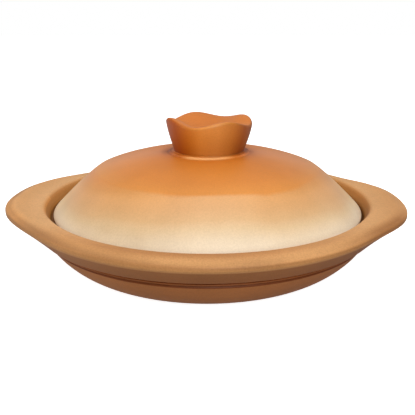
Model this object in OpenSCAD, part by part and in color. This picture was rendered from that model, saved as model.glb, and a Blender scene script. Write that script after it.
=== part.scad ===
// Ceramic frying pan with a wide ear on each side and a domed lid with a wavy open knob.
// Two fired pieces: the pan, and the lid that rests loose on a ledge inside the rim of the pan.
// Millimetres. The pan stands on z = 0, its axis is the z axis and its two ears point along x.

/* [Pan] */
// height from the table to the flat top of the rim
pan_h = 48.3; // [47:0.1:52]
// diameter of the flat ring that the pan stands on
foot_d = 177.4; // [168:0.2:184]
// diameter of the shallow hollow under the base
hollow_d = 148; // [130:1:156]
// depth of the hollow under the base
hollow_h = 1.2; // [0.8:0.1:2]
// thickness of the base above the table at the cooking floor
floor_t = 7.5; // [6.5:0.1:9]
// radius at which the cooking floor starts to turn up into the wall
floor_r = 80; // [74:0.5:84]

/* [Ledge for the lid] */
// depth of the ledge below the flat of the rim
seat_depth = 10.4; // [9.6:0.1:11.2]
// width of the ledge that carries the lid
seat_w = 8.4; // [7.6:0.1:9]
// outward lean of the wall that stands around the lid
gallery_lean = 3.4; // [2.6:0.1:4.2]
// width of the soft edge between that wall and the flat of the rim
inner_round_w = 3.4; // [2.6:0.1:4]
// height of that soft edge
inner_round_h = 2.5; // [1.8:0.1:3]

/* [Rim] */
// width of the rim from its inner edge to its outside
rim_w = 15; // [13:0.1:18]
// height of the outer face of the rim, from the flat down to its lower corner
rim_edge_h = 6.9; // [6.2:0.05:8.6]
// width of the soft slope at the outside of the rim and ears
slope_w = 9; // [6:0.1:10]
// drop of that slope
slope_h = 2.4; // [1.6:0.1:3]
// width of the rounding between the slope and the outer face
edge_round = 1.6; // [1:0.1:2.2]
// depth at which the sloping underside of the rim meets the wall
under_depth = 17.35; // [16.4:0.05:18.6]
// height of the turned bead that runs round the wall under the rim
bead_h = 1.2; // [0.8:0.1:1.4]
// height of the groove between the bead and the rim
upper_groove_h = 1.6; // [1.3:0.1:1.8]
// height of the groove below the bead
lower_groove_h = 2.2; // [1.8:0.1:2.4]
// depth of that groove behind the crest of the bead
lower_groove_depth = 2.8; // [2.5:0.1:3.2]

/* [Ears] */
// how far the left ear stands out past the round rim
left_reach = 18.4; // [12:0.1:24]
// how far the right ear stands out past the round rim
right_reach = 14.2; // [12:0.1:24]
// turn of the tip of the left ear away from the x axis, positive to the back
left_turn = 8; // [-8:0.5:8]
// turn of the tip of the right ear away from the x axis, positive to the back
right_turn = 1.5; // [-8:0.5:8]
// angle from the tip of the left ear to where it has a third of its reach, at the front
left_front_spread = 31.5; // [18:0.5:34]
// the same angle at the back of the left ear
left_back_spread = 23; // [18:0.5:34]
// the same angle at the front of the right ear
right_front_spread = 29.5; // [18:0.5:34]
// the same angle at the back of the right ear
right_back_spread = 20.5; // [18:0.5:34]
// how blunt the left ear is, a pointed bell being near 2
left_blunt = 2.9; // [2:0.1:5]
// how blunt the right ear is
right_blunt = 3.7; // [2:0.1:5]
// height of the outer face at the tip of an ear
ear_edge_h = 7.2; // [6.6:0.1:9]

/* [Lid] */
// diameter of the lid across its widest edge
lid_d = 240; // [232:1:250]
// gap between the edge of the lid and the ledge corner around it
lid_gap = 2; // [1.6:0.1:2.4]
// how far the lid sits to the right of the middle, inside its gap
lid_shift = 0.7; // [0:0.1:1]
// width of the flat foot on which the lid rests
lid_foot_w = 4; // [3:0.1:4.6]
// radius of the soft break between the cap and the skirt of the lid
shoulder_r = 86.2; // [82:0.2:90]
// height of that break above the flat of the rim
shoulder_h = 24.2; // [23:0.1:27]
// height of the top of the dome above the flat of the rim
dome_h = 37.5; // [36:0.1:39.4]
// thickness of the lid
lid_t = 6.5; // [5.6:0.1:7.4]

/* [Knob] */
// diameter of the knob where it stands on the lid
knob_foot_d = 54.2; // [48:0.2:57]
// width of the low collar round the foot of the knob
collar_w = 4.2; // [3:0.1:5]
// height of that collar above the cap
collar_h = 1.4; // [0.8:0.1:1.8]
// diameter of the knob across its lip
knob_lip_d = 66.4; // [62:0.2:72]
// mean height of the knob
knob_h = 23.7; // [21:0.1:27]
// number of waves round the lip
waves = 4; // [3:1:5]
// rise of each wave above the mean height
wave_h = 2.1; // [0.8:0.1:2.4]
// direction of the first crest, turned from the right of the pan to the back
wave_turn = 24; // [0:0.5:90]
// how uneven the waves are, as shaped by hand
lip_uneven = 0.35; // [0:0.05:0.7]
// radius of the rounded outer edge of the lip
lip_round = 1.9; // [1.3:0.1:2.5]
// depth of the open dish inside the knob
dish_depth = 8; // [6:0.2:9.4]
// how far the knob sits to the right of the middle of the lid
knob_shift = 0.9; // [0:0.1:1.4]

/* [Hidden] */
$fn = 192;
// steps round the rim with its ears, and round the knob
rim_steps = 144;
knob_steps = 72;
// steps along a curve of the section
curve_steps = 10;
edge_steps = 6;
slope_steps = 5;
round_steps = 3;

lid_r = lid_d / 2;
// ledge corner, inner edge of the rim, outside of the round rim
gallery_r = lid_r + lid_gap;
rim_in_r = gallery_r + gallery_lean;
rim_r = rim_in_r + rim_w;
seat_z = pan_h - seat_depth;
seat_in_r = gallery_r - seat_w;
// the turned body reaches this radius inside the rim, and the rim overlaps it by rim_overlap
core_r = rim_in_r + inner_round_w + 1.2;
rim_overlap = 1;
// lower inner corner of the rim, just outside the turned body, which ends a little lower
under_r = core_r + 1.05;
under_z = pan_h - under_depth;
core_drop = 0.25;
foot_r = foot_d / 2;
// rounding of the ledge corner and of the ledge edge
seat_fillet = 1.5;
seat_edge = 1.2;
// small break of the lower corner of the rim
corner_break = 1;
// flat kept between the turned body and the slope, and how the slope leaves the flat and ends
slope_margin = 1;
slope_lead = 1.6;
slope_foot_step = [-3, 0.8];

// crest of the bead and floors of the two grooves
wall_top_r = core_r - 2.4;
bead_r = wall_top_r + 0.3;
bead_z = under_z - core_drop - upper_groove_h - bead_h / 2;
bead_break = 0.3;
upper_groove_r = bead_r - 1.4;
lower_groove_r = bead_r - lower_groove_depth;
groove_low_z = bead_z - bead_h / 2 - lower_groove_h;

// wall of the pan, from under the bead to the foot
wall_lean = 2.2;
wall_drop = 8.8;
foot_sweep = 20;
wall_top_z = under_z - 0.4;
wall_curve = [
    [wall_top_r, wall_top_z],
    [wall_top_r - wall_lean, wall_top_z - wall_drop],
    [foot_r + foot_sweep, 1],
    [foot_r, 0]
];
// share of that curve taken up by the bead and its grooves
wall_start = 0.03 * (under_z + 0.3 - groove_low_z);
wall_steps = 14;

// inside of the pan, from the floor up to the ledge
floor_sweep = 21;
inside_lean = 1.5;
inside_rise = 9;
inside_curve = [
    [floor_r, floor_t],
    [floor_r + floor_sweep, floor_t],
    [seat_in_r - inside_lean, floor_t + inside_rise],
    [seat_in_r, seat_z - seat_edge]
];

// lid heights are measured from the flat of the rim; the cap is almost flat under the collar
cap_r = 32.4;
cap_h = dome_h - collar_h - 0.1;
cap_run = 17.6;
cap_fall = 0.4;
shoulder_rise = 5.9;
cap_curve = [
    [cap_r, cap_h],
    [cap_r + cap_run, cap_h - cap_fall],
    [shoulder_r - cap_run, shoulder_h + shoulder_rise],
    [shoulder_r, shoulder_h]
];
// widest line of the lid, and the end of the skirt just above it
widest_z = -7.4;
skirt_end = [lid_r - 1.6, widest_z + 2.5];
// steps from the two ends of the skirt along its slope there, which set how full it bulges
skirt_top_step = [11, -9.4];
skirt_foot_step = [-9, 9.7];
skirt_curve = [
    [shoulder_r, shoulder_h],
    [shoulder_r, shoulder_h] + skirt_top_step,
    skirt_end + skirt_foot_step,
    skirt_end
];
// rounding above the widest line
lid_edge_curve = [
    skirt_end,
    [lid_r - 0.5, widest_z + 1.3],
    [lid_r, widest_z + 0.9],
    [lid_r, widest_z]
];
// rounding under the widest line, down to the flat foot
lid_turn_w = 2.4;
lid_turn_curve = [
    [lid_r, widest_z],
    [lid_r, widest_z - 1.9],
    [lid_r - 0.9, -seat_depth],
    [lid_r - lid_turn_w, -seat_depth]
];
lid_foot_in_r = lid_r - lid_turn_w - lid_foot_w;
// break of the inner corner of the foot
foot_break_w = 0.8;
foot_break_h = 1;
// break between cap and skirt on the inside of the lid
inside_shoulder_in = 4.2;
inside_shoulder = [shoulder_r - inside_shoulder_in, shoulder_h - lid_t + 1];
// steps along the slope of the inside, from its foot and from that break
inside_foot_step = [-5.8, lid_t + 2.4];
inside_skirt_step = [9, -8.2];
inside_cap_step = [-18, 6];
lid_inside_foot = [lid_foot_in_r - foot_break_w, foot_break_h - seat_depth];
lid_inside_curve = [
    lid_inside_foot,
    lid_inside_foot + inside_foot_step,
    inside_shoulder + inside_skirt_step,
    inside_shoulder
];
cap_inside_h = dome_h - lid_t + 0.7;
cap_inside_curve = [
    inside_shoulder,
    inside_shoulder + inside_cap_step,
    [cap_r, cap_inside_h],
    [0, cap_inside_h]
];

knob_foot_r = knob_foot_d / 2;
knob_lip_r = knob_lip_d / 2;
collar_r = knob_foot_r + collar_w;
// crest directions of the once, twice and three times repeated unevenness of the lip
uneven_turn_1 = 225;
uneven_turn_2 = 60;
uneven_turn_3 = 312;
// the knob starts this far inside the dome
knob_root = 3;
side_steps = 7;
lip_steps = 5;
dish_steps = 8;

// point on a cubic curve with four control points
function on_curve(p, t) =
    pow(1 - t, 3) * p[0] + 3 * t * pow(1 - t, 2) * p[1] + 3 * t * t * (1 - t) * p[2] + pow(t, 3) * p[3];

// points along a cubic curve from t = start to its end
function trace(p, start = 0, steps = curve_steps) =
    [for (i = [0 : steps]) on_curve(p, start + (1 - start) * i / steps)];

function reversed(list) = [for (i = [len(list) - 1 : -1 : 0]) list[i]];

// points without the first one, to join two stretches that share it
function rest_of(list) = [for (i = [1 : len(list) - 1]) list[i]];

// bell, 1 at the tip of an ear and close to 0 where it has run into the rim
function bell(a, front_spread, back_spread, blunt) =
    exp(-pow(abs(a) / (a < 0 ? front_spread : back_spread), blunt));

// angle brought between -180 and 180
function wrapped(a) = a > 180 ? a - 360 : a;

// share of each ear in the outline at the angle a, counted from the right ear towards the back
function right_share(a) = bell(wrapped(a) - right_turn, right_front_spread, right_back_spread, right_blunt);
function left_share(a) = bell(180 - a - left_turn, left_front_spread, left_back_spread, left_blunt);

function outline_r(a) = rim_r + right_reach * right_share(a) + left_reach * left_share(a);
function outline_edge_h(a) =
    rim_edge_h + (ear_edge_h - rim_edge_h) * sqrt(max(right_share(a), left_share(a)));

// soft slope from the flat of the rim towards its outer face, for the outline radius r
function slope_curve(r) =
    let (run = min(slope_w, r - core_r - slope_margin), low = [r - edge_round, pan_h - slope_h])
    [[r - run - slope_margin, pan_h], [r - run + slope_lead, pan_h], low + slope_foot_step, low];

// rounding from that slope to the upright outer face, as shares of edge_round
function round_curve(r) =
    let (low = [r - edge_round, pan_h - slope_h])
    [low, low + edge_round * [0.6, -0.16], low + edge_round * [1, -0.4], low + edge_round * [1, -1.3]];

// section of the rim at the angle a, as [radius, height] points from its buried top corner outwards
function rim_section(a) =
    let (r = outline_r(a), h = outline_edge_h(a))
    concat(
        [[core_r - rim_overlap, pan_h]],
        trace(slope_curve(r), steps = slope_steps),
        rest_of(trace(round_curve(r), steps = round_steps)),
        [[r, pan_h - h + corner_break],
         [r - 0.3 * corner_break, pan_h - h + 0.3 * corner_break],
         [r - corner_break, pan_h - h],
         [under_r, under_z],
         [core_r - rim_overlap, under_z]]
    );

// skin of triangles over rings of points that close on themselves, ring after ring and back to the first
module looped_skin(rings) {
    n = len(rings);
    m = len(rings[0]);
    polyhedron(
        points = [for (ring = rings) each ring],
        faces = [for (i = [0 : n - 1], j = [0 : m - 1])
            let (i2 = (i + 1) % n, j2 = (j + 1) % m)
            each [[i * m + j, i2 * m + j2, i * m + j2], [i * m + j, i2 * m + j, i2 * m + j2]]],
        convexity = 8
    );
}

// skin of triangles over rings stacked from a point below to a point above
module capped_skin(low, rings, high) {
    n = len(rings);
    m = len(rings[0]);
    top = n * m + 1;
    polyhedron(
        points = concat([for (ring = rings) each ring], [low, high]),
        faces = concat(
            [for (i = [0 : n - 2], j = [0 : m - 1])
                let (j2 = (j + 1) % m, k = i + 1)
                each [[i * m + j, k * m + j, k * m + j2], [i * m + j, k * m + j2, i * m + j2]]],
            [for (j = [0 : m - 1]) [n * m, j, (j + 1) % m]],
            [for (j = [0 : m - 1]) [top, (n - 1) * m + (j + 1) % m, (n - 1) * m + j]]
        ),
        convexity = 4
    );
}

// bead on the wall with a thin groove below it and one above it, as points going up
function bead_section() = [
    [lower_groove_r + 0.4, groove_low_z],
    [lower_groove_r, groove_low_z + 0.25 * lower_groove_h],
    [lower_groove_r, bead_z - bead_h / 2 - 0.1],
    [bead_r - bead_break, bead_z - 0.4 * bead_h],
    [bead_r, bead_z - 0.1 * bead_h],
    [bead_r, bead_z + 0.1 * bead_h],
    [bead_r - bead_break, bead_z + 0.4 * bead_h],
    [upper_groove_r, bead_z + bead_h / 2 + 0.1],
    [upper_groove_r, under_z - 2 * core_drop],
    [upper_groove_r + bead_break, under_z - core_drop]
];

// turned body of the pan: base, wall with its bead, ledge for the lid and inner edge of the rim
module bowl() {
    rotate_extrude()
        polygon(concat(
            [[0, hollow_h], [hollow_d / 2 - hollow_h, hollow_h], [hollow_d / 2, 0]],
            reversed(trace(wall_curve, wall_start, wall_steps)),
            bead_section(),
            [[core_r, under_z - core_drop],
             [core_r, pan_h]],
            [for (i = [0 : edge_steps])
                let (w = 90 - 80 * i / edge_steps)
                [rim_in_r + inner_round_w * (1 - cos(w)), pan_h - inner_round_h * (1 - sin(w))]],
            [for (i = [0 : 4])
                let (w = 22.5 * i)
                [gallery_r - seat_fillet * (1 - cos(w)), seat_z + seat_fillet * (1 - sin(w))]],
            [for (i = [0 : 4])
                let (w = 22.5 * i)
                [seat_in_r + seat_edge * (1 - sin(w)), seat_z - seat_edge * (1 - cos(w))]],
            rest_of(reversed(trace(inside_curve))),
            [[0, floor_t]]
        ));
}

// flat rim that swells into the two ears, with its soft top edge and sloping underside
module rim_with_ears() {
    looped_skin([for (i = [0 : rim_steps - 1])
        let (a = 360 * i / rim_steps)
        [for (p = rim_section(a)) [p[0] * cos(a), p[0] * sin(a), p[1]]]]);
}

module pan() {
    color([0.81, 0.60, 0.39])
        union() {
            bowl();
            rim_with_ears();
        }
}

// turned shell of the lid: gently sloping cap, steeper skirt, rounded edge and flat foot
module lid_shell() {
    translate([0, 0, pan_h])
        rotate_extrude()
            polygon(concat(
                [[0, cap_h + 0.1]],
                trace(cap_curve),
                rest_of(trace(skirt_curve)),
                rest_of(trace(lid_edge_curve, steps = 4)),
                rest_of(trace(lid_turn_curve, steps = 5)),
                [[lid_foot_in_r, -seat_depth]],
                trace(lid_inside_curve),
                rest_of(trace(cap_inside_curve))
            ));
}

// low turned collar round the foot of the knob, with a soft edge that runs down to the cap
module collar() {
    rotate_extrude()
        polygon([
            [0, -knob_root],
            [collar_r + 0.6, -knob_root],
            [collar_r + 0.6, -collar_h - 0.15],
            [collar_r + 0.1, 0.1 - collar_h],
            [collar_r - 0.1, -0.6 * collar_h],
            [collar_r - 0.5, -0.25 * collar_h],
            [collar_r - 1.1, -0.05 * collar_h],
            [collar_r - 1.8, 0],
            [0, 0]
        ]);
}

// height of the lip above the foot of the knob at the angle a
function lip_h(a) =
    knob_h + wave_h * cos(waves * (a - wave_turn))
    + lip_uneven * (cos(a - uneven_turn_1) + cos(2 * (a - uneven_turn_2)) + cos(3 * (a - uneven_turn_3)));

// ring of the knob at radius r, its height given as a share of the lip height less a drop
function knob_ring(r, share, drop) = [for (i = [0 : knob_steps - 1])
    let (a = 360 * i / knob_steps)
    [r * cos(a), r * sin(a), share * lip_h(a) - drop]];

// radius of the side of the knob at a share of its height: it flares, then turns upright at the lip
function side_r(s) = knob_foot_r + (knob_lip_r - knob_foot_r) * (1.25 * s - 0.25 * s * s * s);

// height of the dish at a share of its radius, 0 at the middle and 1 on top of the lip
function dish_share(s) = s * s * s * (4 - 3 * s);

// open knob with a wavy rounded lip that runs softly down into a shallow dish
module knob() {
    side_h = 1 - lip_round / knob_h;
    dish_r = knob_lip_r - lip_round;
    dish_z = knob_h - dish_depth;
    capped_skin(
        [0, 0, -knob_root],
        concat(
            [[for (i = [0 : knob_steps - 1])
                let (a = 360 * i / knob_steps)
                [(knob_foot_r - 1) * cos(a), (knob_foot_r - 1) * sin(a), -knob_root]]],
            [for (i = [0 : side_steps]) knob_ring(side_r(i / side_steps), side_h * i / side_steps, 0)],
            [for (i = [1 : lip_steps])
                let (w = 90 * i / lip_steps)
                knob_ring(knob_lip_r - lip_round * (1 - cos(w)), 1, lip_round * (1 - sin(w)))],
            [for (i = [1 : dish_steps])
                let (s = 1 - i / (dish_steps + 1))
                [for (j = [0 : knob_steps - 1])
                    let (a = 360 * j / knob_steps)
                    [dish_r * s * cos(a), dish_r * s * sin(a),
                     dish_z + (lip_h(a) - dish_z) * dish_share(s)]]]
        ),
        [0, 0, dish_z]
    );
}

module lid() {
    color([0.87, 0.56, 0.30])
        translate([lid_shift, 0, 0])
            union() {
                lid_shell();
                translate([knob_shift, 0, pan_h + dome_h]) {
                    collar();
                    knob();
                }
            }
}

pan();
lid();
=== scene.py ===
# %% [markdown]
# # A ceramic frying pan with a domed lid
#
# A low pan of fired clay with a flat rim that swells into an ear on each side. A domed lid rests
# inside the rim, and a wavy open knob stands in the middle of it. The pan and the lid are one
# thrown and fired piece each. This script dresses the two solids: it draws each piece again as one
# fine turned skin, coats it with a satin clay finish and sets it on a white table in soft light.

# %% Load the frame
import math

import bpy
import numpy as np
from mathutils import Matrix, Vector


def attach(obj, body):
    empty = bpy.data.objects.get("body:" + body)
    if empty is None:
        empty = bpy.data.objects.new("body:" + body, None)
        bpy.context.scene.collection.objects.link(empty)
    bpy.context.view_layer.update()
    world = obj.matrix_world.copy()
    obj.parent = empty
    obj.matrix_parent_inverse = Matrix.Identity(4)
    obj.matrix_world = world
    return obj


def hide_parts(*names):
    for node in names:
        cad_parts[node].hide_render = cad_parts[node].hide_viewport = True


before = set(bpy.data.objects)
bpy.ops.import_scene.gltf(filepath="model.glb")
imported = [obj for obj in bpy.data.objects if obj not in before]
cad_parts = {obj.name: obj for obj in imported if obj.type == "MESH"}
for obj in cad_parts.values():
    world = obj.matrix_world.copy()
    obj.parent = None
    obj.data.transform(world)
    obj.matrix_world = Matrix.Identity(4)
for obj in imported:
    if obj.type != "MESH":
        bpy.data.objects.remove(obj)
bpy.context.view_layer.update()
MM = 0.001

# %% [markdown]
# ## Sizes of the pan
#
# The pan is 48 mm high to the flat of its rim, and the lid that it holds is 240 mm across. The
# rim follows from the lid: a narrow gap, the wall that leans away from it, and then the rim's own
# width. The sizes of both pieces are in millimetres, and MM turns them into Blender's metres. The
# finish, the table, the lamps and the camera are set in metres.

# %% Heights and radii of the pan
PAN_H = 48.3
LID_R, LID_GAP = 120.0, 2.0
FOOT_R = 88.7
HOLLOW_R, HOLLOW_H = 74.0, 1.2
FLOOR_R, FLOOR_T = 80.0, 7.5
WALL_LEAN, RIM_W = 3.4, 15.0
LEDGE_OUT_R = LID_R + LID_GAP
RIM_IN_R = LEDGE_OUT_R + WALL_LEAN
RIM_R = RIM_IN_R + RIM_W
LEDGE_DEPTH, LEDGE_W = 10.4, 8.4
LEDGE_Z, LEDGE_IN_R = PAN_H - LEDGE_DEPTH, LEDGE_OUT_R - LEDGE_W
print("rim radius", RIM_R, "ledge height", LEDGE_Z)

# %% [markdown]
# ## Curves and skins
#
# A potter's section is a few straight runs joined by soft curves, so each stretch of it is a line,
# an arc or a cubic curve. Blender's Screw modifier could turn such a section round the axis, but
# here the section changes on the way round: the ears swell, the inner edge is crisper in front and
# the lip of the knob is wavy. So a skin is made from rings of points, and each ring may change its
# radius and height with the angle. The two ends of a skin close on the axis.

# %% Stretches of a section
def moved(point, across, up):
    return point[0] + across, point[1] + up


def line(start, end, count):
    t = np.linspace(0, 1, count)[:, None]
    return np.array(start, float) * (1 - t) + np.array(end, float) * t


def arc(centre, half_sizes, angles, count):
    """Stretch of an ellipse between two angles, in degrees."""
    a = np.radians(np.linspace(*angles, count))
    return np.stack([centre[0] + half_sizes[0] * np.cos(a), centre[1] + half_sizes[1] * np.sin(a)], 1)


def cubic(start, first_pull, second_pull, end, count):
    """Soft curve between two points that is drawn towards two others on its way."""
    t = np.linspace(0, 1, count)[:, None]
    p = [np.array(point, float) for point in (start, first_pull, second_pull, end)]
    towards_start = (1 - t) ** 3 * p[0] + 3 * t * (1 - t) ** 2 * p[1]
    return towards_start + 3 * t * t * (1 - t) * p[2] + t ** 3 * p[3]


print("a quarter circle:", arc((0, 0), (1, 1), (0, 90), 3).round(2).tolist())


# %% Runs of stretches
TOUCH = 1e-6
LONGEST_CUT = 0.45


def chain(*runs):
    """The runs one after another. A point that two of them share is kept once."""
    out = [np.array(runs[0], float).reshape(-1, 2)]
    for run in runs[1:]:
        run = np.array(run, float).reshape(-1, 2)
        gap = np.hypot(*(run[0] - out[-1][-1]))
        out.append(run[1:] if gap < TOUCH else run)
    return np.concatenate(out)


def soften(points, cut, count=4):
    """The same run of points with each inner corner replaced by a small curve.

    A curve takes off the length of the cut on both sides, but never half of a short side.
    """
    p = np.array(points, float)
    out = [p[0]]
    for before, corner, after in zip(p[:-2], p[1:-1], p[2:]):
        back, on = before - corner, after - corner
        back_len, on_len = np.hypot(*back), np.hypot(*on)
        start = corner + back / back_len * min(cut, LONGEST_CUT * back_len)
        end = corner + on / on_len * min(cut, LONGEST_CUT * on_len)
        for t in np.linspace(0, 1, count):
            out.append((1 - t) ** 2 * start + 2 * t * (1 - t) * corner + t * t * end)
    return np.array(out + [p[-1]])


print("a corner softened:", soften([(0, 0), (1, 0), (1, 1)], 0.2, 3).round(2).tolist())


# %% Rings and skins
def ease(t):
    """A soft step: 0 up to t = 0, 1 from t = 1 on, and level at both ends."""
    t = np.clip(t, 0, 1)
    return t * t * (3 - 2 * t)


def ring(r, z, angles, axis_x=0.0):
    """Points round an upright axis. The radius and the height may be one number or one per angle."""
    a = np.radians(angles)
    return np.stack([axis_x + r * np.cos(a), r * np.sin(a), z + 0 * a], -1)


def skin(name, rings, first_point, last_point):
    """Closed mesh over rings of points, with a fan of triangles to a point at each end."""
    count, steps, _ = rings.shape
    verts = np.concatenate([rings.reshape(-1, 3), [first_point, last_point]]) * MM
    i, j = np.meshgrid(np.arange(count - 1), np.arange(steps), indexing="ij")
    k = (j + 1) % steps
    quads = np.stack([i * steps + j, i * steps + k, (i + 1) * steps + k, (i + 1) * steps + j], -1)
    first_fan = [(count * steps, (q + 1) % steps, q) for q in range(steps)]
    top = (count - 1) * steps
    last_fan = [(count * steps + 1, top + q, top + (q + 1) % steps) for q in range(steps)]
    mesh = bpy.data.meshes.new(name)
    mesh.from_pydata(verts.tolist(), [], quads.reshape(-1, 4).tolist() + first_fan + last_fan)
    mesh.validate()
    for polygon in mesh.polygons:
        polygon.use_smooth = True
    mesh.update()
    obj = bpy.data.objects.new(name, mesh)
    bpy.context.scene.collection.objects.link(obj)
    print(name, "has", sum(len(polygon.vertices) - 2 for polygon in mesh.polygons), "triangles")
    return obj


print("a soft step in quarters:", ease(np.linspace(0, 1, 5)).round(3).tolist())

# %% [markdown]
# ## Outline of the rim
#
# Seen from above the rim is a circle with an ear on each side, shaped by hand out of the same clay.
# The left ear is the longer one and turns a little to the back, and the right one is shorter and
# blunter. A separate block joined to the rim would leave a seam that the real pan doesn't have. So
# each ear is a blunt bell that is added to the radius, with its own spread to the front and to the
# back.

# %% Outline of the rim with its two ears
RIGHT_EAR = {"reach": 14.2, "turn": 1.5, "front": 29.5, "back": 20.5, "blunt": 3.7}
LEFT_EAR = {"reach": 18.4, "turn": 8, "front": 31.5, "back": 23, "blunt": 2.9}
RIM_FACE_H, EAR_FACE_H = 6.9, 7.2


def bell(a, ear):
    """Share of the ear's reach at the angles a from its side, in degrees towards the back."""
    a = a - ear["turn"]
    spread = np.where(a < 0, ear["front"], ear["back"])
    return np.exp(-(np.abs(a) / spread) ** ear["blunt"])


def outline(a):
    """Radius and height of the outer face at the angles a, in degrees from the right to the back."""
    right = bell(np.where(a > 180, a - 360, a), RIGHT_EAR)
    left = bell(180 - a, LEFT_EAR)
    share = np.sqrt(np.maximum(right, left))
    reach = RIM_R + RIGHT_EAR["reach"] * right + LEFT_EAR["reach"] * left
    return reach, RIM_FACE_H + (EAR_FACE_H - RIM_FACE_H) * share


STEPS = 480
around = np.arange(STEPS) * 360 / STEPS
ear_r, ear_h = outline(around)
print("reach left", ear_r[STEPS // 2].round(2), "right", ear_r[0].round(2))

# %% [markdown]
# ## The pan
#
# The pan starts at the middle of its hollow base, runs out over the foot and up the round wall. A
# bead between two thin grooves marks where the wall meets the rim. The grooves could be only dark
# lines of paint, but they are cut with a tool on the wheel and catch a shadow, so the section has
# them as steps with softened corners.

# %% Places under the rim
INNER_W, INNER_H = 3.4, 2.5
CORE_OUT, UNDER_OUT, WALL_BACK, UNDER_DEPTH = 1.2, 1.05, 2.4, 17.35
CORE_R = RIM_IN_R + INNER_W + CORE_OUT
UNDER_R, UNDER_Z = CORE_R + UNDER_OUT, PAN_H - UNDER_DEPTH
WALL_TOP_R = CORE_R - WALL_BACK
UNDER_START = moved((UNDER_R, UNDER_Z), -0.9, -0.1)
TOP_DROP, GROOVE_DROP = 0.4, 0.25
print("wall meets the rim at radius", round(WALL_TOP_R, 2), "height", round(UNDER_Z, 2))

# %% Sizes of the bead and its grooves
BEAD_OUT, BEAD_H = 0.3, 1.2
UPPER_GROOVE_D, LOWER_GROOVE_D = 1.4, 2.8
UPPER_GROOVE_H, LOWER_GROOVE_H = 1.6, 2.2
BEAD_R = WALL_TOP_R + BEAD_OUT
UPPER_GROOVE_R, LOWER_GROOVE_R = BEAD_R - UPPER_GROOVE_D, BEAD_R - LOWER_GROOVE_D
GROOVE_TOP_Z = UNDER_Z - GROOVE_DROP
BEAD_Z = GROOVE_TOP_Z - UPPER_GROOVE_H - BEAD_H / 2
GROOVE_LOW_Z = BEAD_Z - BEAD_H / 2 - LOWER_GROOVE_H
print("bead at height", round(BEAD_Z, 2), "and the groove below it down to", round(GROOVE_LOW_Z, 2))

# %% Section of the wall with its bead and grooves
BEAD_SLOPE, BEAD_FACE = 0.1, 0.4 * BEAD_H
CORNER_CUT, GROOVE_BEVEL = 0.35, (0.4, 0.55)
wall_top = (WALL_TOP_R, UNDER_Z - TOP_DROP)
wall_foot = (FOOT_R, 0)
wall = cubic(wall_top, moved(wall_top, -2.2, -8.8), moved(wall_foot, 20, 1), wall_foot, 60)[::-1]
wall = wall[wall[:, 1] < GROOVE_LOW_Z - CORNER_CUT]
bead = soften([
    wall[-1],
    (LOWER_GROOVE_R + GROOVE_BEVEL[0], GROOVE_LOW_Z),
    (LOWER_GROOVE_R, GROOVE_LOW_Z + GROOVE_BEVEL[1]),
    (LOWER_GROOVE_R, BEAD_Z - BEAD_H / 2 - BEAD_SLOPE),
    (BEAD_R, BEAD_Z - BEAD_FACE),
    (BEAD_R, BEAD_Z + BEAD_FACE),
    (UPPER_GROOVE_R, BEAD_Z + BEAD_H / 2 + BEAD_SLOPE),
    (UPPER_GROOVE_R, GROOVE_TOP_Z),
    UNDER_START,
], CORNER_CUT)
print("wall of", len(wall), "points and bead of", len(bead))

# %% Section of the base and the outside, up to the underside of the rim
AXIS_GAP, HOLLOW_SLOPE = 2, 1.2
hollow_top = (HOLLOW_R - HOLLOW_SLOPE, HOLLOW_H)
hollow_foot = (HOLLOW_R, 0)
outside = chain(
    line((AXIS_GAP, HOLLOW_H), hollow_top, 5),
    cubic(hollow_top, moved(hollow_top, 0.6, 0), moved(hollow_foot, -0.5, 0), hollow_foot, 5),
    line(hollow_foot, wall_foot, 4),
    wall,
    bead,
)
print("outside of", len(outside), "points")

# %% [markdown]
# ## Rim and inside of the pan
#
# The underside of the rim slopes out to its lower corner and the outer face is upright. Above it
# the rim slopes up softly to a narrow flat. Inside, a leaning wall drops to the ledge for the lid,
# and below the ledge the wall curves down to the floor. The inner edge of the rim is rounded softly
# at the sides and is crisp in front. A Bevel modifier would round it evenly, so the width and the
# height of its rounding are worked out for each angle.

# %% Inner edge of the rim, crisper in front
CRISP_W, CRISP_H = 0.8, 0.6
CRISP_FROM, CRISP_OVER = 0.25, 0.3
crisp = ease((-np.sin(np.radians(around)) - CRISP_FROM) / CRISP_OVER)
edge_w = INNER_W + (CRISP_W - INNER_W) * crisp
edge_h = INNER_H + (CRISP_H - INNER_H) * crisp
print("inner edge rounded", edge_w.min().round(2), "to", edge_w.max().round(2), "mm wide")

# %% Section of the inside, from the flat of the rim to the middle of the floor
FILLET, LEDGE_ROUND = 1.5, 1.2
EDGE_STOPS = 170
ledge_low = (LEDGE_IN_R, LEDGE_Z - LEDGE_ROUND)
floor_edge = (FLOOR_R, FLOOR_T)
ledge_corner = arc((LEDGE_OUT_R - FILLET, LEDGE_Z + FILLET), (FILLET, FILLET), (0, -90), 6)
ledge_edge = arc(moved(ledge_low, LEDGE_ROUND, 0), (LEDGE_ROUND, LEDGE_ROUND), (90, 180), 6)
inner_wall = cubic(ledge_low, (LEDGE_IN_R - 1.5, FLOOR_T + 9), moved(floor_edge, 21, 0), floor_edge, 30)


def inside_run(w, h):
    """Inner edge of the rim rounded w wide and h high, wall round the lid, ledge, wall and floor."""
    inner_edge = arc((RIM_IN_R + w, PAN_H - h), (w, h), (90, EDGE_STOPS), 12)
    return chain(inner_edge, line(inner_edge[-1], ledge_corner[0], 5), ledge_corner, ledge_edge,
                 inner_wall, line(floor_edge, (AXIS_GAP, FLOOR_T), 8))


print("inside of", len(inside_run(INNER_W, INNER_H)), "points")

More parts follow.
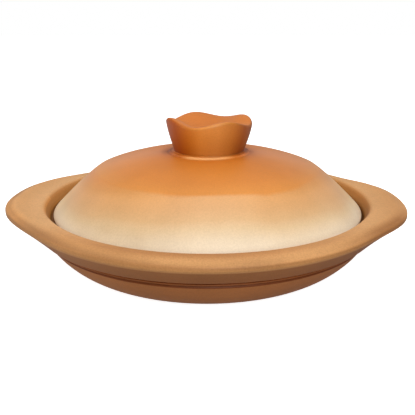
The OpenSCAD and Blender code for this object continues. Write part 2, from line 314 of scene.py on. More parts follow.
# %% Section of the rim
SLOPE_W, SLOPE_H, SLOPE_EASE, EDGE_ROUND = 9.0, 2.4, 1, 1.6
LOW_EDGE, UNDER_STEP, FACE_RUN, UNDER_EDGE, FLAT_GAP = 0.9, 0.1, 2, 0.4, 0.6
UNDER_FROM = 0.12
EDGE_CURVE = ((1, -1.3), (1, -0.4), (0.6, -0.16), (0, 0))


def rim_run(r, h, w):
    """Underside, corner, outer face, slope and flat of a rim of radius r.

    The outer face is h high, and the flat ends beside the inner edge, which is rounded w wide.
    """
    face_foot = (r, PAN_H - h)
    corner = soften([
        (UNDER_R, UNDER_Z),
        moved(face_foot, -LOW_EDGE, -UNDER_STEP),
        moved(face_foot, 0, LOW_EDGE),
        moved(face_foot, 0, FACE_RUN),
    ], LOW_EDGE, 5)
    slope_foot = np.array([r - EDGE_ROUND, PAN_H - SLOPE_H])
    slope_top = (r - SLOPE_W - SLOPE_EASE, PAN_H)
    return chain(
        soften([UNDER_START, (UNDER_R, UNDER_Z), corner[1]], UNDER_EDGE)[:-1],
        line(corner[0] + (corner[1] - corner[0]) * UNDER_FROM, corner[1], 9),
        corner[1:-1],
        cubic(*[slope_foot + EDGE_ROUND * np.array(pull) for pull in EDGE_CURVE], 8),
        cubic(slope_foot, moved(slope_foot, -3, 0.8), moved(slope_top, 2.6, 0), slope_top, 12),
        line(slope_top, (RIM_IN_R + w + FLAT_GAP, PAN_H), 3),
    )


print("rim of", len(rim_run(RIM_R, RIM_FACE_H, INNER_W)), "points")

# %% Skin of the pan
sections = np.array([chain(outside, rim_run(r, h, w), inside_run(w, drop))
                     for r, h, w, drop in zip(ear_r, ear_h, edge_w, edge_h)])
rings = np.array([ring(r, z, around) for r, z in sections.transpose(1, 2, 0)])
pan = skin("pan_skin", rings, (0, 0, HOLLOW_H), (0, 0, FLOOR_T))
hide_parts("pan")
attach(pan, "root")

# %% [markdown]
# ## The lid
#
# The lid runs from the middle of its hollow, over the flat foot and the rounded edge, up the skirt
# to a soft break, the shoulder, and over the cap. A squashed sphere would be too even: the skirt is
# steep and the cap is flatter, so each is a curve of its own, and they meet at the shoulder.
# Heights of the lid are counted from the flat of the rim.

# %% Section of the lid, from the middle of its hollow to the collar
LID_T, DOME_H, COLLAR_H = 6.5, 37.5, 1.4
WIDEST_Z, LID_FOOT_Z = -7.4, -10.4
shoulder = (86.2, 24.2)
widest = (LID_R, WIDEST_Z)
foot_out, foot_in = (LID_R - 2.4, LID_FOOT_Z), (LID_R - 6.4, LID_FOOT_Z)
skirt_end = (LID_R - 1.6, WIDEST_Z + 2.5)
cap_start = (32.4, DOME_H - COLLAR_H - 0.1)
ceiling = (8, DOME_H - LID_T + 0.7)
under_shoulder = moved(shoulder, -4.2, 1 - LID_T)
inner_edge = moved(foot_in, -0.8, 1)
shell = chain(
    line((AXIS_GAP, ceiling[1]), ceiling, 2),
    cubic(ceiling, moved(ceiling, 25, 0), moved(under_shoulder, -18, 6), under_shoulder, 18),
    cubic(under_shoulder, moved(under_shoulder, 9, -8.2), moved(inner_edge, -5.8, 8.9), inner_edge, 18),
    [foot_in, moved(foot_in, 1.3, 0), foot_out],
    cubic(foot_out, moved(foot_out, 1.5, 0), moved(widest, 0, -1.9), widest, 10),
    cubic(widest, moved(widest, 0, 0.9), moved(widest, -0.5, 1.3), skirt_end, 8),
    cubic(skirt_end, moved(skirt_end, -9.3, 9.3), moved(shoulder, 9.6, -6.3), shoulder, 44),
    cubic(shoulder, moved(shoulder, -12.6, 5.5), moved(cap_start, 17.6, -0.4), cap_start, 44),
)
print("lid top", PAN_H + DOME_H, "mm, section of", len(shell), "points")

# %% [markdown]
# ## The collar and the knob
#
# The knob stands on a low collar, flares and turns upright at its lip. The lip rises and falls in
# four hand-shaped waves and runs softly down into a shallow dish. The knob could be a piece of its
# own on top of the lid, but the glaze runs over both without a seam, so its rings go on where those
# of the lid end. The lid stands a little to the right in the pan and the knob a little further, so
# the rings shift over on the cap.

# %% Collar of the knob and waves of its lip
KNOB_FOOT_R, KNOB_LIP_R, KNOB_H = 27.1, 33.2, 23.7
COLLAR_R = KNOB_FOOT_R + 4.2
collar = soften([
    (COLLAR_R + 0.9, cap_start[1] + 0.01),
    (COLLAR_R + 0.1, DOME_H - COLLAR_H + 0.1),
    (COLLAR_R - 0.5, DOME_H - 0.28),
    (COLLAR_R - 1.8, DOME_H),
    (KNOB_FOOT_R + 0.5, DOME_H),
], 0.6, 5)
WAVE_H, UNEVEN_H = 2.1, 0.35
MAIN_WAVES = (4, 24)
UNEVEN_WAVES = ((1, 225), (2, 60), (3, 312))


def wave(a, times, crest):
    """A wave that comes so many times in a turn, with a crest at one angle, in degrees."""
    return np.cos(times * (np.radians(a) - math.radians(crest)))


def lip_h(a):
    """Height of the lip above the foot of the knob at the angles a, in degrees."""
    uneven = sum(wave(a, *one_wave) for one_wave in UNEVEN_WAVES)
    return KNOB_H + WAVE_H * wave(a, *MAIN_WAVES) + UNEVEN_H * uneven


KNOB_STEPS = 432
turn = np.arange(KNOB_STEPS) * 360 / KNOB_STEPS
lip = lip_h(turn)
print("knob stands", lip.min().round(2), "to", lip.max().round(2), "mm above the dome")

# %% Rings of the lid and of the knob's side, lip and dish
LID_X, KNOB_X = 0.35, 1.6
SHIFT_FROM_R, SHIFT_OVER = 60, 27
KNOB_FLARE, LIP_ROUND, DISH_DEPTH = 0.25, 1.9, 8.0
FOOT_FILLET = ((0.2, 0.002), (0.05, 0.008))
dish_z = KNOB_H - DISH_DEPTH
side_share = 1 - LIP_ROUND / KNOB_H
lid_rings = []
for r, z in chain(shell, collar):
    shift = ease((SHIFT_FROM_R - r) / SHIFT_OVER) if z > 0 else 0
    lid_rings.append(ring(r, PAN_H + z, turn, LID_X + (KNOB_X - LID_X) * shift))
side_rings = []
for more, q in FOOT_FILLET:
    side_rings.append(ring(KNOB_FOOT_R + more, PAN_H + DOME_H + q * lip, turn, KNOB_X))
for q in np.linspace(0.02, 1, 20):
    r = KNOB_FOOT_R + (KNOB_LIP_R - KNOB_FOOT_R) * ((1 + KNOB_FLARE) * q - KNOB_FLARE * q ** 3)
    side_rings.append(ring(r, PAN_H + DOME_H + side_share * q * lip, turn, KNOB_X))
for w in np.radians(np.linspace(0, 90, 10)[1:]):
    drop = LIP_ROUND * (1 - math.sin(w))
    r = KNOB_LIP_R - LIP_ROUND * (1 - math.cos(w))
    side_rings.append(ring(r, PAN_H + DOME_H + lip - drop, turn, KNOB_X))
dish_rings = []
for q in np.linspace(1, 0.05, 30)[1:]:
    level_at_both_ends = q ** 3 * (4 - 3 * q)
    z = dish_z + (lip - dish_z) * level_at_both_ends
    dish_rings.append(ring((KNOB_LIP_R - LIP_ROUND) * q, PAN_H + DOME_H + z, turn, KNOB_X))
print("rings of the lid", len(lid_rings), "side", len(side_rings), "dish", len(dish_rings))

# %% Skin of the lid
rings = np.array(lid_rings + side_rings + dish_rings)
ceiling_middle, dish_middle = (LID_X, 0, PAN_H + ceiling[1]), (KNOB_X, 0, PAN_H + DOME_H + dish_z)
lid = skin("lid_skin", rings, ceiling_middle, dish_middle)
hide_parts("lid")
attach(lid, "root")

# %% [markdown]
# The side of the knob has a colour of its own, so the finish has to know where it is. Its height
# alone can't tell, because the dish inside it is as high. So each point of the skin carries a mark
# from 0 to 1, which Blender calls an attribute, and the mark fades out softly over the lip.

# %% Mark that tells the finish which rings are the knob's side
FADING = 6
AT_AXIS = [0.0, 0.0]
on_side = [0.0] * len(lid_rings) + [1.0] * (len(side_rings) - FADING)
on_side += list(np.linspace(1, 0, FADING)) + [0.0] * len(dish_rings)
marks = lid.data.attributes.new("knob side", "FLOAT", "POINT")
marks.data.foreach_set("value", list(np.repeat(on_side, KNOB_STEPS)) + AT_AXIS)
print("marked", int(np.sum(on_side)), "of", len(on_side), "rings")

# %% [markdown]
# ## Clay finish
#
# Both pieces have a satin sprayed finish that gets thicker and thinner over the shape. A painted
# image could carry it, but the skins would have to be unwrapped first, and the image would blur
# close up. So colours follow measures of the place instead: its height, its distance from the axis
# and its angle. A ramp turns a measure into a colour or a share, and a blend lays one colour over
# another. The helpers below add such nodes to one tree, so that a step of the finish is one line.

# %% Colours
def srgb(r, g, b):
    """Linear colour of a shade that is given as a colour picker shows it, from 0 to 255."""
    def linear(v):
        v /= 255
        return v / 12.92 if v <= 0.04045 else ((v + 0.055) / 1.055) ** 2.4
    return linear(r), linear(g), linear(b), 1.0


def grey(v):
    return v, v, v, 1


print("a middle grey is", [round(v, 3) for v in srgb(128, 128, 128)])


# %% Nodes, links and sums
class Nodes:
    """Adds nodes to one tree. A value is a number, a colour or the output of another node."""

    def __init__(self, tree):
        self.tree = tree

    def add(self, kind, **settings):
        node = self.tree.nodes.new("ShaderNode" + kind)
        for name, value in settings.items():
            setattr(node, name, value)
        return node

    def feed(self, socket, value):
        if isinstance(value, (int, float, tuple)):
            socket.default_value = value
        else:
            self.tree.links.new(value, socket)

    def maths(self, operation, *values, clamp=False):
        node = self.add("Math", operation=operation, use_clamp=clamp)
        for socket, value in zip(node.inputs, values):
            self.feed(socket, value)
        return node.outputs[0]


print("a tree can", [name for name in vars(Nodes) if not name.startswith("_")])


# %% Colours and shares that follow a value
class Paint(Nodes):
    """Adds the nodes that colour a finish."""

    def ramp(self, value, stops):
        """Colour that follows a value. Each stop is a value from 0 to 1 and its colour."""
        node = self.add("ValToRGB")
        steps = node.color_ramp.elements
        while len(steps) < len(stops):
            steps.new(0.5)
        for step, (at, colour) in zip(steps, stops):
            step.position, step.color = at, colour
        self.feed(node.inputs["Fac"], value)
        return node.outputs["Color"]

    def fade(self, value, *stops):
        """Share that follows a value."""
        return self.ramp(value, [(at, grey(share)) for at, share in stops])

    def shades(self, value, *stops):
        """Shade that follows a value, with shades as a colour picker shows them."""
        return self.ramp(value, [(at, srgb(*shade)) for at, shade in stops])

    def tints(self, value, *stops):
        """Factors for red, green and blue that follow a value. Factors of 1 change nothing."""
        return self.ramp(value, [(at, (*factors, 1)) for at, factors in stops])

    def blend(self, mode, share, under, over):
        """The colour under with the colour over laid on it by a share."""
        node = self.add("Mix", data_type="RGBA", blend_type=mode)
        colours = [socket for socket in node.inputs if socket.type == "RGBA"]
        for socket, value in zip([node.inputs["Factor"], *colours], (share, under, over)):
            self.feed(socket, value)
        return [socket for socket in node.outputs if socket.type == "RGBA"][0]


print("paint can also", [name for name in vars(Paint) if not name.startswith("_")])


# %% Start of a finish and the measures that it follows
def new_finish(name, rough, gloss):
    """A material, the paint for its nodes, its shader and the place on the object."""
    mat = bpy.data.materials.new(name)
    mat.use_nodes = True
    shader = mat.node_tree.nodes["Principled BSDF"]
    shader.inputs["Roughness"].default_value = rough
    shader.inputs["Specular IOR Level"].default_value = gloss
    paint = Paint(mat.node_tree)
    return mat, paint, shader, paint.add("TexCoord").outputs["Object"]


def from_axis(paint, place, axis_x):
    """The outputs x, y, z and distance from an upright axis at axis_x, all in metres."""
    parts = paint.add("SeparateXYZ")
    paint.feed(parts.inputs[0], place)
    x = paint.maths("SUBTRACT", parts.outputs["X"], axis_x)
    flat = paint.add("CombineXYZ")
    paint.feed(flat.inputs["X"], x)
    paint.feed(flat.inputs["Y"], parts.outputs["Y"])
    length = paint.add("VectorMath", operation="LENGTH")
    paint.feed(length.inputs[0], flat.outputs[0])
    return x, parts.outputs["Y"], parts.outputs["Z"], length.outputs["Value"]


def noise(paint, place, scale, detail, rough=0.5):
    """Soft noise. A scale of 100 gives patches about a centimetre wide."""
    node = paint.add("TexNoise")
    settings = {"Vector": place, "Scale": scale, "Detail": detail, "Roughness": rough}
    for name, value in settings.items():
        paint.feed(node.inputs[name], value)
    return node.outputs["Fac"]


print("places are measured in metres: the rim at", round(PAN_H * MM, 4))

# %% [markdown]
# The last step is the same for both pieces. Sprayed glaze drifts in soft clouds, fine grains of
# darker and lighter spray lie over it, and they leave the surface slightly uneven, so that light
# breaks up on it. Grains a millimetre wide are too small to model, so they are noise in the
# colour, in the roughness and in the bump.

# %% Clouds, grains and an uneven surface
CLOUD_SCALE, GRAIN_SCALE, WAVE_SCALE = 16, 900, 60
ROUGH_SPREAD, GRAIN_HEIGHT = 0.16, 0.35
BUMP_SHARE, BUMP_DEPTH = 0.35, 0.0002


def spray(paint, place, shader, colour, grain_share):
    """Lays clouds and grains over a colour and gives it to the shader, with roughness and bump."""
    clouds = noise(paint, place, CLOUD_SCALE, detail=4, rough=0.55)
    cloud_tints = paint.tints(clouds, (0.3, (0.90, 0.88, 0.86)), (0.7, (1.06, 1.06, 1.06)))
    colour = paint.blend("MULTIPLY", 1.0, colour, cloud_tints)
    grain = noise(paint, place, GRAIN_SCALE, detail=3, rough=0.7)
    grain_tints = paint.tints(grain, (0.32, (0.80, 0.76, 0.70)), (0.62, (1.12, 1.12, 1.12)))
    colour = paint.blend("MULTIPLY", grain_share, colour, grain_tints)
    paint.feed(shader.inputs["Base Color"], colour)
    least = shader.inputs["Roughness"].default_value - ROUGH_SPREAD / 2
    paint.feed(shader.inputs["Roughness"], paint.maths("MULTIPLY_ADD", grain, ROUGH_SPREAD, least))
    grain_bump = paint.maths("MULTIPLY", grain, GRAIN_HEIGHT)
    bump_height = paint.maths("ADD", grain_bump, noise(paint, place, WAVE_SCALE, detail=3))
    bump = paint.add("Bump")
    bump.inputs["Strength"].default_value = BUMP_SHARE
    bump.inputs["Distance"].default_value = BUMP_DEPTH
    paint.feed(bump.inputs["Height"], bump_height)
    paint.feed(shader.inputs["Normal"], bump.outputs["Normal"])
    print("the finish has", len(paint.tree.nodes), "nodes")


# %% [markdown]
# ## Finish of the pan
#
# The pan is the colour of baked clay. Its rim took the spray from above and is warmer and lighter,
# and the wall and the underside of the rim got little of it, so they stay browner. A material for
# each band would end in hard lines, so one ramp of the height carries them all. The rim of the real
# pan seems to have warped a little in the kiln, so the line where the light spray starts is tilted.

# %% Pan: colours by height, from the table up to the rim
RIM_SPRAY, RIM_TILT = srgb(220, 164, 106), 0.25
pan_mat, paint, shader, place = new_finish("pan clay", rough=0.5, gloss=0.25)
x, y, z, away = from_axis(paint, place, 0.0)
height = paint.maths("DIVIDE", z, PAN_H * MM, clamp=True)
# The lowest stop is a painted contact shade where the wall meets the table. The stop above it is a
# little lighter: painted light that stands in for light thrown up from the table.
clay = paint.shades(
    height, (0.0, (124, 76, 40)), (0.06, (176, 110, 58)), (0.30, (170, 107, 57)), (0.64, (162, 102, 56)),
    (0.66, (148, 94, 52)), (0.835, (152, 98, 54)), (0.855, (194, 140, 86)), (0.92, (186, 132, 80)))
tilted = paint.maths("ADD", height, paint.maths("MULTIPLY", x, RIM_TILT))
on_edge = paint.fade(tilted, (0.93, 0), (0.955, 0.9), (0.97, 1))
clay = paint.blend("MIX", on_edge, clay, RIM_SPRAY)
print("heights are shares of", PAN_H, "mm")

# %% [markdown]
# The bead and the two grooves beside it get a painted shade, where the rim above keeps light off
# them, over some dark glaze in the grooves. The leaning wall round the lid gets a painted shade
# that is darkest at the ledge. Ambient occlusion could find such corners by itself, but it is slow
# and would darken the gap beside the lid as well. The heights of the grooves are known, so a ramp of
# height does it, and the radius keeps it off the inside of the pan.

# %% Pan: painted shade in the grooves and on the leaning wall
ACROSS = 0.2
GROOVE, BEAD, UPPER_GROOVE = (0.44, 0.29, 0.12), (0.74, 0.62, 0.50), (0.95, 0.75, 0.55)
across = paint.maths("DIVIDE", away, ACROSS)
# Painted shade under the rim: darkest in the lower groove, less on the bead, with some dark glaze in the
# grooves.
groove_shade_and_glaze = paint.tints(
    height, (0.514, (1, 1, 1)), (0.525, GROOVE), (0.568, GROOVE), (0.582, BEAD), (0.598, BEAD),
    (0.606, UPPER_GROOVE), (0.640, UPPER_GROOVE), (0.650, (1, 1, 1)))
clay = paint.blend("MULTIPLY", paint.fade(across, (0.60, 0), (0.61, 1)), clay, groove_shade_and_glaze)
# Painted shade on the leaning wall round the lid, darkest at the ledge.
leaning_wall_shade = paint.shades(height, (0.79, (112, 70, 32)), (0.84, (166, 110, 52)), (0.88, (178, 121, 58)),
                       (0.91, (178, 120, 58)), (0.96, (190, 130, 68)))
past_wall = paint.fade(across, (0.626, 0), (0.646, 1))
below_ledge = paint.fade(height, (0.74, 1), (0.77, 0))
on_flat = paint.fade(height, (0.965, 0), (1.0, 1))
not_leaning = paint.maths("MAXIMUM", paint.maths("MAXIMUM", past_wall, below_ledge), on_flat)
clay = paint.blend("MIX", not_leaning, leaning_wall_shade, clay)
print("leaning wall from", round(LEDGE_OUT_R * MM / ACROSS, 3), "to", round(RIM_IN_R * MM / ACROSS, 3))

# %% [markdown]
# On the rim, soft patches of colour stand in for light. In front, towards the lid, a painted shade
# darkens the rim where the lid keeps light off it. Away from the front the top of the rim is paler,
# a painted sheen. At the front left a painted shade darkens the slope of the rim. These soft patches
# could be painted by hand in Texture Paint mode. Ramps of the direction seen from the axis do the
# same and can be set by numbers: front goes from 0 to 1 in front, and from_left from 0 at the left
# to 2 at the right.

# %% Pan: painted shade and painted sheen on the rim
FRONT_GAIN, FRONT_FROM = -2.2, -1.2
front = paint.maths("MULTIPLY_ADD", paint.maths("DIVIDE", y, away), FRONT_GAIN, FRONT_FROM, clamp=True)
on_top = paint.fade(height, (0.93, 0), (0.95, 1))
# Painted sheen: away from the front the top of the rim is paler and bluer.
rim_sheen = paint.tints(across, (0.62, (1.06, 1.12, 1.24)), (0.66, (1.06, 1.12, 1.22)), (0.72, (1, 1, 1)))
not_front = paint.maths("SUBTRACT", 1.0, front)
clay = paint.blend("MULTIPLY", paint.maths("MULTIPLY", not_front, on_top), clay, rim_sheen)
# Painted shade: in front, towards the lid, the rim is darker where the lid keeps light off it.
front_rim_shade = paint.tints(across, (0.63, (0.72, 0.60, 0.48)), (0.65, (0.76, 0.65, 0.57)),
                     (0.675, (0.95, 0.93, 0.90)))
clay = paint.blend("MULTIPLY", paint.maths("MULTIPLY", front, on_top), clay, front_rim_shade)
from_left = paint.maths("ADD", paint.maths("DIVIDE", x, away), 1.0)
front_left = paint.fade(from_left, (0.12, 0), (0.28, 0.8), (0.40, 1), (0.62, 0.7), (0.82, 0))
off_flat = paint.fade(across, (0.63, 0), (0.65, 0.6), (0.675, 1))
# Painted shade: at the front left the slope of the rim is darker.
front_left_shade = paint.maths("MULTIPLY", front_left, paint.maths("MULTIPLY", on_edge, off_flat))
clay = paint.blend("MULTIPLY", front_left_shade, clay, (0.86, 0.80, 0.72, 1))
print("rim from", round(RIM_IN_R * MM / ACROSS, 3), "to", round(RIM_R * MM / ACROSS, 3))

# %% [markdown]
# The slope in front of the right ear is browner. The left ear is paler at its end and a little
# browner towards the front, and the whole pan gets a little browner to the right. The slopes are
# found by the angle round the axis, counted in quarter turns: 0 is at the right, 1 at the back, -1
# in front and -2 at the left.

# %% Pan: slopes round the ears
PAN_SPAN = 0.3
sideways = paint.maths("ADD", paint.maths("DIVIDE", x, PAN_SPAN), 0.5)
to_right = paint.tints(sideways, (0.65, (1, 1, 1)), (1.0, (0.92, 0.87, 0.80)))
clay = paint.blend("MULTIPLY", 1.0, clay, to_right)
quarters = paint.maths("DIVIDE", paint.maths("ARCTAN2", y, x), math.pi / 2)
right_slopes = paint.tints(
    paint.maths("ADD", quarters, 1.0), (0.0, (1, 1, 1)), (0.14, (0.82, 0.80, 0.80)),
    (0.25, (0.96, 0.95, 0.95)), (0.36, (1, 1, 1)), (0.50, (0.80, 0.74, 0.68)),
    (0.62, (0.62, 0.52, 0.41)), (0.76, (0.62, 0.52, 0.41)), (0.90, (1, 1, 1)))
left_slopes = paint.tints(
    paint.maths("ADD", quarters, 2.0), (0.0, (1.25, 1.25, 1.22)), (0.22, (1.28, 1.25, 1.15)),
    (0.32, (1, 1, 1)), (0.42, (0.84, 0.79, 0.76)), (0.52, (0.86, 0.82, 0.78)), (0.66, (1, 1, 1)))
on_face = paint.fade(height, (0.86, 0), (0.91, 0.9), (0.96, 1), (0.975, 0.65), (0.99, 0.32), (1.0, 0))
on_slope = paint.fade(height, (0.93, 0), (0.95, 1), (0.975, 0.9), (0.99, 0.4), (1.0, 0))
clay = paint.blend("MULTIPLY", on_face, clay, right_slopes)
clay = paint.blend("MULTIPLY", on_slope, clay, left_slopes)

# %% [markdown]
# The wall under the rim gets painted light at the left, which makes it lighter there. It takes the
# ramp from side to side once more, and the height keeps this off the rim. The clouds and grains come
# last, over all other colours.

# %% Pan: painted light on the wall at the left, then grain over it all
below_rim = paint.fade(height, (0.84, 1), (0.86, 0))
left_wall_light = paint.tints(sideways, (0.1, (1.36, 1.38, 1.32)), (0.48, (1, 1, 1)), (0.75, (1.05, 1.03, 1.0)))
clay = paint.blend("MULTIPLY", below_rim, clay, left_wall_light)
spray(paint, place, shader, clay, grain_share=0.55)
pan.data.materials.append(pan_mat)

# %% [markdown]
# ## Finish of the lid
#
# The lid was sprayed orange from above and left cream towards its edge. In front the two meet in a
# fairly crisp line at the shoulder. At the two sides the spray ran further down the skirt and fades
# out slowly. One ramp from the axis outwards would be the same all round. So the cap and the skirt
# have a ramp each, a noise makes both drift, and the ramp of the skirt is pushed outwards at the
# sides.

# %% Lid: orange cap and cream skirt
LINE_DRIFT, SIDE_RUN, RUN_FADES, SPRAY_X = 0.06, 0.35, 0.3, 0.008
lid_mat, paint, shader, place = new_finish("lid clay", rough=0.40, gloss=0.42)
x, y, z, away = from_axis(paint, place, LID_X * MM)
share = paint.maths("DIVIDE", away, LID_R * MM)
cloud = paint.maths("SUBTRACT", noise(paint, place, scale=22, detail=3), 0.5)
cap_share = paint.maths("ADD", share, paint.maths("MULTIPLY", cloud, LINE_DRIFT))
beside_spray = paint.maths("ABSOLUTE", paint.maths("SUBTRACT", x, SPRAY_X))
side = paint.maths("POWER", paint.maths("DIVIDE", beside_spray, away), 2)
run = paint.maths("SUBTRACT", SIDE_RUN, paint.maths("MULTIPLY", share, RUN_FADES))
skirt_share = paint.maths("SUBTRACT", cap_share, paint.maths("MULTIPLY", side, run))
cap = paint.shades(cap_share, (0.0, (212, 114, 22)), (0.27, (222, 126, 34)), (0.34, (222, 131, 46)),
                   (0.60, (224, 138, 56)), (0.715, (228, 148, 66)))
skirt = paint.shades(
    skirt_share, (0.60, (228, 146, 66)), (0.68, (226, 157, 86)), (0.73, (230, 169, 106)),
    (0.79, (226, 173, 116)), (0.84, (226, 182, 130)), (0.88, (232, 200, 155)), (0.93, (240, 218, 185)),
    (0.97, (248, 229, 200)))
glaze = paint.blend("MIX", paint.fade(cap_share, (0.712, 0), (0.735, 1)), cap, skirt)
print("the shoulder is at", round(shoulder[0] / LID_R, 3), "of the lid's radius")

# %% [markdown]
# The skirt is darker at the front left, a painted shade, and the lid is paler towards its left and
# right, a painted sheen. The first is a multiply and darkens what is there. The second adds a little
# green and blue, because a multiply can't lighten an orange that has almost no blue in it. At the
# very ends the skirt also gets a little more red and green, painted light on its sides.

# %% Lid: painted shade at the front left, painted sheen and light at the ends
from_left = paint.maths("ADD", paint.maths("DIVIDE", x, away), 1.0)
front_left = paint.fade(from_left, (0.10, 0), (0.26, 0.65), (0.38, 1), (0.62, 0.6), (0.85, 0))
low_skirt = paint.fade(share, (0.74, 0), (0.88, 0.35), (0.93, 1))
# Painted shade: the low skirt is darker at the front left.
front_left_shade = paint.maths("MULTIPLY", front_left, low_skirt)
glaze = paint.blend("MULTIPLY", front_left_shade, glaze, (0.84, 0.79, 0.71, 1))
to_side = paint.maths("DIVIDE", paint.maths("ABSOLUTE", x), away)
# Painted sheen: the lid is paler and less orange towards its left and right.
side_sheen = paint.fade(to_side, (0.70, 0), (0.88, 0.25), (0.96, 0.65), (1.0, 1))
glaze = paint.blend("ADD", side_sheen, glaze, (0.0, 0.050, 0.075, 1))
# Painted light at the very ends of the skirt.
end_light = paint.maths("MULTIPLY", paint.fade(to_side, (0.96, 0), (1.0, 1)),
                     paint.fade(share, (0.78, 0), (0.84, 1)))
glaze = paint.blend("ADD", end_light, glaze, (0.12, 0.06, 0.0, 1))
print("the finish of the lid has", len(paint.tree.nodes), "nodes so far")

# %% [markdown]
# The side of the knob is golden. Painted light makes it lightest in front and darker towards its
# sides, dark orange at its left and browner at its right, and it is a little darker at its foot. A
# second material on its faces would end in a hard
# line round the lip, because the knob is part of the skin of the lid. So its colour is mixed here
# and laid on later by the mark that the rings carry.

# %% Lid: colour of the knob's side, with painted light in front
KNOB_AXIS_X, KNOB_SPAN = 0.001, 0.05
off_axis = paint.maths("ABSOLUTE", paint.maths("SUBTRACT", x, KNOB_AXIS_X))
aside = paint.maths("DIVIDE", off_axis, away)
# Painted light: lightest in front, darker towards the sides where the frontal light falls off.
golden_with_front_light = paint.shades(aside, (0.2, (220, 138, 52)), (0.52, (198, 110, 22)), (0.78, (178, 84, 0)))
brown_with_front_light = paint.shades(aside, (0.2, (216, 142, 66)), (0.52, (198, 122, 48)), (0.78, (160, 84, 20)))
rightwards = paint.maths("ADD", paint.maths("DIVIDE", x, KNOB_SPAN), 0.5)
knob = paint.blend("MIX", paint.fade(rightwards, (0.3, 0), (0.8, 1)), golden_with_front_light, brown_with_front_light)
up_knob = paint.maths("MULTIPLY_ADD", z, 1 / (KNOB_H * MM), -(PAN_H + DOME_H) / KNOB_H)
knob = paint.blend("MULTIPLY", 1.0, knob, paint.fade(up_knob, (0.0, 0.86), (0.6, 1), (0.9, 1.06)))
print("the knob's colour starts at", PAN_H + DOME_H, "mm")

# %% [markdown]
# A painted highlight stands for light caught on the collar: a pale crescent in front of the knob.
# A painted shade darkens the cap round the knob's foot, most of all at both sides, and the collar at
# its sides and back. These are narrow rings round the axis that end where the direction turns away:
# beside is the distance from the axis, and towards_front is 1 in front, 0 at the sides and -1 at the
# back.

# %% Lid: painted highlight on the collar and painted shade round the foot of the knob
NEAR_KNOB, TOP = 0.05, 0.12
towards_front = paint.maths("DIVIDE", paint.maths("MULTIPLY", y, -1), away)
beside = paint.maths("DIVIDE", away, NEAR_KNOB)
collar_highlight = paint.maths("MULTIPLY", paint.fade(towards_front, (0.76, 0), (0.93, 1)),
                       paint.fade(beside, (0.575, 0), (0.60, 1), (0.63, 1), (0.67, 0)))
glaze = paint.blend("MIX", collar_highlight, glaze, srgb(252, 180, 106))
at_side = paint.fade(paint.maths("ABSOLUTE", towards_front), (0.0, 1), (0.2, 0.6), (0.5, 0))
round_foot = paint.fade(beside, (0.55, 0), (0.57, 1), (0.62, 1), (0.68, 0.6), (0.74, 0.1), (0.80, 0))
on_dish = paint.fade(paint.maths("DIVIDE", z, TOP), (0.75, 0), (0.78, 1))
foot_shade = paint.maths("MULTIPLY", paint.maths("MULTIPLY", at_side, round_foot),
                   paint.maths("SUBTRACT", 1.0, on_dish))
glaze = paint.blend("MULTIPLY", foot_shade, glaze, (0.56, 0.38, 0.16, 1))
collar_shade = paint.maths("MULTIPLY", paint.fade(towards_front, (0.70, 1), (0.88, 0)),
                        paint.fade(beside, (0.55, 0), (0.57, 1), (0.62, 1), (0.65, 0)))
glaze = paint.blend("MULTIPLY", collar_shade, glaze, (0.82, 0.70, 0.50, 1))
print("collar from", round(KNOB_FOOT_R * MM / NEAR_KNOB, 3), "to", round(COLLAR_R * MM / NEAR_KNOB, 3))

# %% [markdown]
# The dish of the knob gets one plain shade, and so does the low edge of the lid, which is dark in
# the shadow of the gap. They come late because what is laid on last hides what is under it. The
# knob's side follows, and the clouds and grains go over it all.

# %% Lid: dish and low edge, then the knob's side and grain over it all
glaze = paint.blend("MIX", on_dish, glaze, srgb(220, 128, 48))
low_edge = paint.fade(paint.maths("DIVIDE", z, PAN_H * MM), (0.835, 1), (0.85, 0))
glaze = paint.blend("MIX", low_edge, glaze, srgb(96, 58, 26))
knob_side = paint.add("Attribute", attribute_name="knob side")
glaze = paint.blend("MIX", knob_side.outputs["Fac"], glaze, knob)
spray(paint, place, shader, glaze, grain_share=0.3)
lid.data.materials.append(lid_mat)

# %% [markdown]
# ## Table
#
# The photo has a white ground with only a trace of shadow. A plain white table would throw much
# light back up under the rim and turn it pale. So the table is two things at once: the camera sees
# it glow white, and the clay sees it as a dull grey that glows faintly, more so at the left.

# %% Table
TABLE_W = 12.0
CAMERA_GLOW, TABLE_GLOW, GLOW_SLOPE, LEAST_GLOW, MOST_GLOW = 0.88, 0.16, -0.25, 0.08, 0.3
corners = [(TABLE_W * right, TABLE_W * back, 0) for right, back in ((-1, -1), (1, -1), (1, 1), (-1, 1))]
mesh = bpy.data.meshes.new("table")
mesh.from_pydata(corners, [], [(0, 1, 2, 3)])
table = bpy.data.objects.new("table", mesh)
bpy.context.scene.collection.objects.link(table)
table_mat, paint, shader, place = new_finish("white table", rough=0.9, gloss=0.0)
to_camera = paint.add("LightPath").outputs["Is Camera Ray"]
board = paint.blend("MIX", to_camera, (0.34, 0.32, 0.30, 1), grey(0.8))
paint.feed(shader.inputs["Base Color"], board)
parts = paint.add("SeparateXYZ")
paint.feed(parts.inputs[0], place)
to_clay = paint.maths("MULTIPLY_ADD", parts.outputs["X"], GLOW_SLOPE, TABLE_GLOW)
to_clay = paint.maths("MINIMUM", paint.maths("MAXIMUM", to_clay, LEAST_GLOW), MOST_GLOW)
glow = paint.add("Emission")
glow.inputs["Color"].default_value = grey(1)
camera_glow = paint.maths("MULTIPLY", to_camera, CAMERA_GLOW)
paint.feed(glow.inputs["Strength"], paint.maths("MAXIMUM", to_clay, camera_glow))
both = paint.add("AddShader")
paint.feed(both.inputs[0], shader.outputs[0])
paint.feed(both.inputs[1], glow.outputs[0])
paint.feed(table_mat.node_tree.nodes["Material Output"].inputs["Surface"], both.outputs[0])
mesh.materials.append(table_mat)
print("table", 2 * TABLE_W, "m wide")

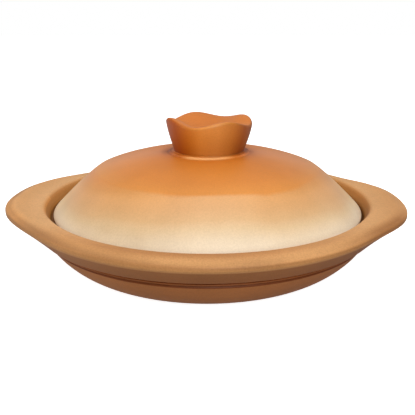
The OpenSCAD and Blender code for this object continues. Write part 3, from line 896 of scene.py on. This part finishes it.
# %% [markdown]
# ## Surround and lamps
#
# The camera sees a white surround. The clay sees a room instead: dim behind the camera, and paler
# at the sides and behind the pan. The glaze mirrors it weaker still, because a pale room in the
# glaze would lay a veil over the orange. A picture of a real room could do this too, but three
# shades are enough for satin clay.

# %% Surround
ROOM, SIDES, BACKDROP, IN_GLAZE = 0.10, 0.60, 0.55, 0.4
world = bpy.data.worlds.new("surround")
bpy.context.scene.world = world
world.use_nodes = True
paint = Paint(world.node_tree)
parts = paint.add("SeparateXYZ")
paint.feed(parts.inputs[0], paint.add("TexCoord").outputs["Generated"])
to_back = paint.maths("MULTIPLY_ADD", parts.outputs["Y"], 0.5, 0.5)
room = paint.fade(to_back, (0.0, ROOM), (0.35, ROOM), (0.5, SIDES), (0.72, BACKDROP))
ray = paint.add("LightPath")
dimmed = paint.maths("MULTIPLY", ray.outputs["Is Glossy Ray"], IN_GLAZE)
room = paint.maths("MULTIPLY", room, paint.maths("SUBTRACT", 1.0, dimmed))
seen = paint.maths("MAXIMUM", ray.outputs["Is Camera Ray"], ray.outputs["Is Transmission Ray"])
background = world.node_tree.nodes["Background"]
background.inputs["Color"].default_value = grey(1)
paint.feed(background.inputs["Strength"], paint.maths("MAXIMUM", seen, room))
print("surround: dim", ROOM, "sides", SIDES, "backdrop", BACKDROP)

# %% [markdown]
# A wide soft lamp hangs overhead. A smaller one stands high in front and a larger one low in
# front, both a little to the right, and a weak one stands at the left. Two wide lamps behind the
# pan light the far side of the rim and aren't mirrored in the glaze. Area lamps are used because a
# soft gleam has the size of its lamp: a sun or a point lamp would give hard shadows.

# %% Lamps
def lamp(name, place, aim, size, power):
    data = bpy.data.lights.new(name, "AREA")
    data.shape = "RECTANGLE"
    data.size, data.size_y = size
    data.energy = power
    obj = bpy.data.objects.new(name, data)
    obj.location = place
    obj.rotation_euler = (Vector(aim) - Vector(place)).to_track_quat("-Z", "Y").to_euler()
    bpy.context.scene.collection.objects.link(obj)
    return obj


MIDDLE = (0, 0, 0.05)
lamp("overhead", (0.0, -0.25, 1.1), (0, 0, 0), (1.0, 1.0), 5.0)
lamp("front", (0.20, -1.1, 0.75), MIDDLE, (0.3, 0.3), 4.8)
lamp("low front", (0.18, -1.4, 0.30), MIDDLE, (0.6, 0.4), 4.6)
lamp("left", (-1.1, -0.4, 0.55), MIDDLE, (0.5, 0.5), 1.4)
for side, power in ((-1, 2.4), (1, 1.6)):
    lamp("behind", (0.9 * side, 0.9, 0.5), MIDDLE, (0.8, 0.8), power).visible_glossy = False

# %% [markdown]
# ## Camera
#
# The camera stands 450 mm in front of the middle of the pan and looks down on it by 17 degrees. Its
# lens was worked out from the ellipses of the lid and the rim in the photo, because the ratio of
# their height to their width tells the angle, and their change from front to back the distance.

# %% Camera
CAMERA_PLACE = (0.00035, -0.450, 0.1769)
LENS, SENSOR_W, LOOK_DOWN = 50.69, 36, 17.118
data = bpy.data.cameras.new("camera")
data.lens = LENS
data.sensor_width = SENSOR_W
camera = bpy.data.objects.new("camera", data)
camera.location = CAMERA_PLACE
camera.rotation_euler = (math.radians(90 - LOOK_DOWN), 0, 0)
bpy.context.scene.collection.objects.link(camera)
bpy.context.scene.camera = camera
bpy.context.scene.view_settings.view_transform = "Standard"
print("camera at", CAMERA_PLACE)

# %% [markdown]
